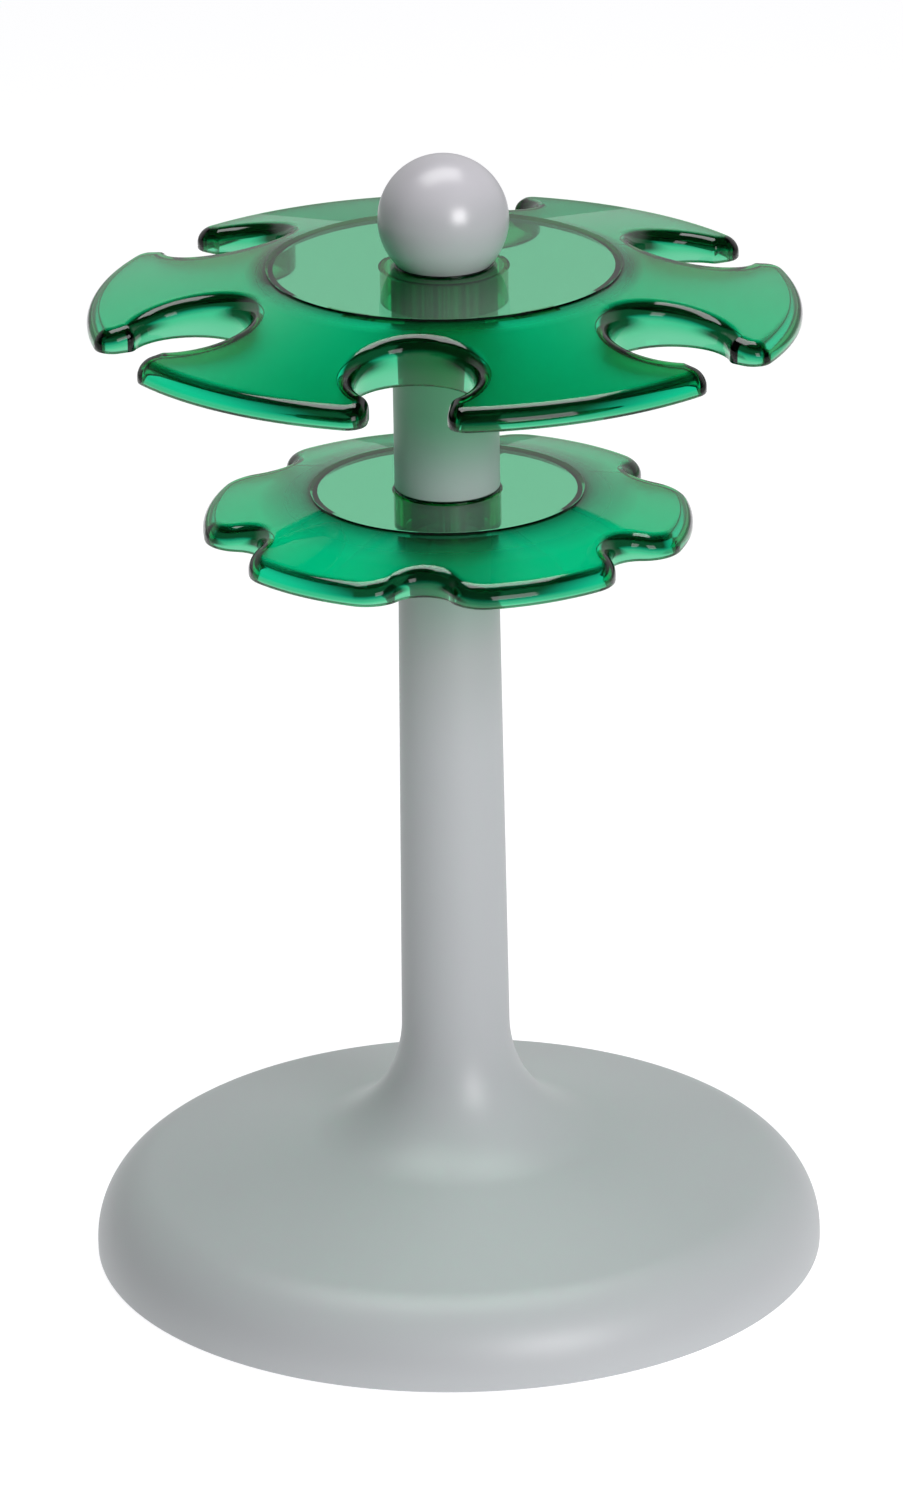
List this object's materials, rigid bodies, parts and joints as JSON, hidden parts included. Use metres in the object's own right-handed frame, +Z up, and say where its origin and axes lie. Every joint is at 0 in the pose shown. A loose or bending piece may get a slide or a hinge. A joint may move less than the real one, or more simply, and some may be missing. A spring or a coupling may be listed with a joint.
{
  "type": "pipette carousel stand",
  "caption": "Round weighted foot with a slim column that carries a turning pair of clear green lobed discs and a ball knob; pipettes hang in the open places round the rim.",
  "frame": {"origin": "centre of the footprint on the table, under the column", "axes": "+Z up along the column and the carousel's axis, -Y towards the viewer in front, +X to the viewer's right"},
  "size_m": [0.211, 0.211, 0.3296],
  "materials": {
    "stand_plastic": "satin light grey moulded plastic",
    "sleeve_plastic": "satin light grey moulded plastic",
    "knob_plastic": "polished light grey moulded plastic",
    "clear_green": "clear green moulded acrylic",
    "cover_plastic": "fine textured grey plastic",
    "bush_plastic": "natural bearing plastic",
    "foot_rubber": "matt dark rubber",
    "ballast_iron": "blackened casting",
    "spindle_steel": "ground steel",
    "screw_steel": "zinc plated steel",
    "spring_steel": "blackened spring steel",
    "insert_brass": "turned brass"
  },
  "bodies": {
    "stand": {"base_shell": "stand_plastic", "base_ballast": "ballast_iron", "base_cover": "cover_plastic", "cover_screws": "screw_steel", "rubber_feet": "foot_rubber", "bush_carrier": "stand_plastic", "lower_bush": "bush_plastic", "upper_bush": "bush_plastic", "thrust_washer": "bush_plastic"},
    "carousel": {"spindle": "spindle_steel", "end_washer": "screw_steel", "retaining_ring": "spring_steel", "lower_disc": "clear_green", "spacer_sleeve": "sleeve_plastic", "upper_disc": "clear_green", "clamp_washer": "screw_steel", "knob_insert": "insert_brass", "ball_knob": "knob_plastic"}
  },
  "joints": [
    {"name": "carousel_spin", "type": "hinge", "parent": "stand", "child": "carousel", "pos_m": [0, 0, 0.2186], "axis": [0, 0, 1], "continuous": true}
  ]
}
